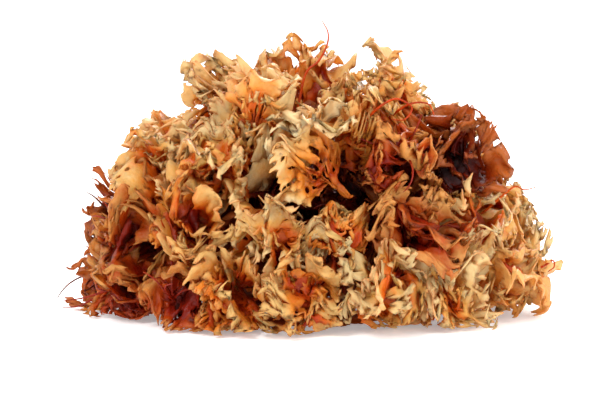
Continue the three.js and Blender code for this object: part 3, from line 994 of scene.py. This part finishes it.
class Nodes:
    """A material's node tree, with short ways to add to it."""

    def __init__(self, name):
        self.material = bpy.data.materials.new(name)
        self.material.use_nodes = True
        self.tree = self.material.node_tree
        self.shader = self.tree.nodes["Principled BSDF"]

    def add(self, kind, links=(), **settings):
        node = self.tree.nodes.new(kind)
        for key, value in settings.items():
            setattr(node, key, value)
        for socket, source in dict(links).items():
            self.join(source, node.inputs[socket])
        return node

    def join(self, source, socket):
        if isinstance(source, bpy.types.NodeSocket):
            self.tree.links.new(source, socket)
        else:
            socket.default_value = source

    def value(self, name):
        return self.add("ShaderNodeAttribute", attribute_name=name).outputs["Fac"]

    def noise(self, name):
        place = self.add("ShaderNodeTexCoord").outputs["Object"]
        links = {"Vector": place, "Roughness": NOISE_ROUGHNESS, **NOISES[name]}
        return self.add("ShaderNodeTexNoise", links).outputs["Fac"]

    def sum(self, first, second, times):
        """first + second * times"""
        links = {0: second, 1: times, 2: first}
        return self.add("ShaderNodeMath", links, operation="MULTIPLY_ADD").outputs[0]

    def ramp(self, factor, stops):
        node = self.add("ShaderNodeValToRGB", {"Fac": factor})
        elements = node.color_ramp.elements
        while len(elements) < len(stops):
            elements.new(0.5)
        for element, (position, colour) in zip(elements, stops):
            element.position = position
            element.color = colour
        return node.outputs["Color"]

    def mix(self, factor, first, second):
        """A mix of two colours. Its sockets share names with those of other types, so they go by number."""
        node = self.add("ShaderNodeMix", data_type="RGBA")
        self.join(factor, node.inputs[0])
        self.join(first, node.inputs[6])
        self.join(second, node.inputs[7])
        return node.outputs[2]

    def limits(self, value, low, high, start=0, end=1):
        """A value between low and high, moved to between start and end."""
        links = {"Value": value, "From Min": low, "From Max": high, "To Min": start, "To Max": end}
        return self.add("ShaderNodeMapRange", links).outputs["Result"]


def weed_material(slot):
    """Dried weed: dark in the throat, pale at the tips, blotched, with amber margins, painted shade deep in
    the clump and a faint gloss.
    """
    nodes = Nodes("weed_" + slot)
    palette = [linear(colour) for colour in PALETTES[slot]]
    grain = nodes.noise("grain")
    sources = {
        "patches": nodes.sum(nodes.noise("patches"), nodes.noise("broad_patches"), BROAD_PATCHES),
        "tone": nodes.value("tone"),
        "grain": grain,
        # Painted shade deep in the clump, read from the mesh.
        "painted_shade": nodes.value("painted_shade"),
    }
    place = nodes.value("along")
    for name, weight in PALETTE_WEIGHTS.items():
        place = nodes.sum(place, sources[name], weight)
    place = nodes.limits(place, *PALETTE_ENDS)
    colour = nodes.ramp(place, list(zip(PALETTE_STOPS, palette)))
    rim = nodes.limits(nodes.value("edge"), 0, AMBER_RIM["width"], AMBER_RIM["strength"], 0)
    colour = nodes.mix(rim, colour, palette[1])
    spots = nodes.limits(nodes.noise("spots"), SPOTS["from"], SPOTS["full"], 0, SPOTS["strength"])
    colour = nodes.mix(spots, colour, linear(SPOT_COLOUR))
    shader = nodes.shader
    nodes.join(colour, shader.inputs["Base Color"])
    nodes.join(nodes.limits(grain, *GLOSS["grain"], *GLOSS["roughness"]), shader.inputs["Roughness"])
    shader.inputs["Specular IOR Level"].default_value = GLOSS["specular"]
    crinkle = nodes.sum(grain, nodes.noise("crinkle"), CRINKLE)
    bump = nodes.add("ShaderNodeBump", {"Height": crinkle, **BUMP})
    nodes.join(bump.outputs["Normal"], shader.inputs["Normal"])
    warm = nodes.mix(THROUGH["warmth"], colour, linear(THROUGH_COLOUR))
    through = nodes.add("ShaderNodeBsdfTranslucent", {"Color": warm, "Normal": bump.outputs["Normal"]})
    both = nodes.add("ShaderNodeMixShader", {0: THROUGH["share"]})
    nodes.join(shader.outputs["BSDF"], both.inputs[1])
    nodes.join(through.outputs["BSDF"], both.inputs[2])
    nodes.join(both.outputs["Shader"], nodes.tree.nodes["Material Output"].inputs["Surface"])
    return nodes.material


def add_floor():
    """A white floor that sweeps up behind the clump."""
    nodes = Nodes("floor")
    greys = [(position, (grey, grey, grey, 1)) for position, grey in FLOOR["greys"]]
    inputs = nodes.shader.inputs
    nodes.join(nodes.ramp(nodes.noise("floor"), greys), inputs["Base Color"])
    inputs["Roughness"].default_value = FLOOR["roughness"]
    inputs["Emission Color"].default_value = WHITE
    inputs["Emission Strength"].default_value = FLOOR["glow"]
    back, radius, half_width = SWEEP["back"], SWEEP["radius"], SWEEP["half_width"]
    profile = [(SWEEP["front"], 0)]
    for turn in np.linspace(0, math.pi / 2, SWEEP["steps"]):
        profile.append((back + radius * math.sin(turn), radius * (1 - math.cos(turn))))
    profile.append((back + radius, SWEEP["top"]))
    points = [(x, y, z + FLOOR["height"]) for y, z in profile for x in (-half_width, half_width)]
    faces = [(2 * i, 2 * i + 1, 2 * i + 3, 2 * i + 2) for i in range(len(profile) - 1)]
    mesh = bpy.data.meshes.new("floor")
    mesh.from_pydata(points, [], faces)
    mesh.shade_smooth()
    mesh.materials.append(nodes.material)
    floor = bpy.data.objects.new("floor", mesh)
    bpy.context.collection.objects.link(floor)


def add_area_light(name, place, size, power):
    """A square light that points at the clump."""
    light = bpy.data.lights.new(name, "AREA")
    light.size = size
    light.energy = power
    lamp = bpy.data.objects.new(name, light)
    lamp.location = place
    lamp.rotation_euler = (Vector(LIGHT_TARGET) - lamp.location).to_track_quat("-Z", "Y").to_euler()
    bpy.context.collection.objects.link(lamp)


def add_lights():
    scene = bpy.context.scene
    scene.view_settings.view_transform = "Standard"
    world = bpy.data.worlds.new("studio")
    world.use_nodes = True
    background = world.node_tree.nodes["Background"]
    background.inputs["Color"].default_value = WHITE
    background.inputs["Strength"].default_value = WORLD_STRENGTH
    scene.world = world
    for name, light in LIGHTS.items():
        add_area_light(name, **light)


def add_camera():
    """The photo's view, a little from above."""
    camera = bpy.data.cameras.new("camera")
    camera.sensor_width = SENSOR
    camera.lens = SENSOR * VIEW_DISTANCE / VIEW_WIDTH
    holder = bpy.data.objects.new("camera", camera)
    tilt = math.radians(VIEW_ELEVATION)
    target = Vector(VIEW_TARGET) * MM
    back = Vector((0, -math.cos(tilt), math.sin(tilt)))
    holder.location = target + back * VIEW_DISTANCE * MM
    holder.rotation_euler = (-back).to_track_quat("-Z", "Y").to_euler()
    bpy.context.collection.objects.link(holder)
    bpy.context.scene.camera = holder


def main():
    slots = {part["node"]: part["material_slot"] for part in frame["record"]["subparts"]}
    materials = {slot: weed_material(slot) for slot in PALETTES}
    fronds = place_fronds()
    for frond in fronds:
        frond["threads"] = []
    for path in THREADS:
        nearest = min(fronds, key=lambda frond: np.linalg.norm(frond["middle"] - path[0]))
        nearest["threads"].append(thread(smooth_path(path)))
    for frond in fronds:
        add_walls(frond, fronds)
        add_directions(frond)
        broad, narrow = IVORY_SPRIGS if frond["kind"] is KINDS["ivory"] else SPRIGS[frond["ring"]]
        blades = [main_blade(frond)] + frond["threads"]
        blades += [sprig_blade(frond, BROAD_SPRIG) for _ in range(broad)]
        blades += [sprig_blade(frond, NARROW_SPRIG) for _ in range(narrow)]
        if slots[frond["name"]] in DARK_SLOTS and frond["ring"] in CURLY_RINGS:
            blades += [curly_thread(frond) for _ in range(CURLY_THREADS)]
        add_piece(frond["name"], blades, slots, materials)
    add_piece("base_frond", [base_blade()], slots, materials)
    add_floor()
    add_lights()
    add_camera()


main()
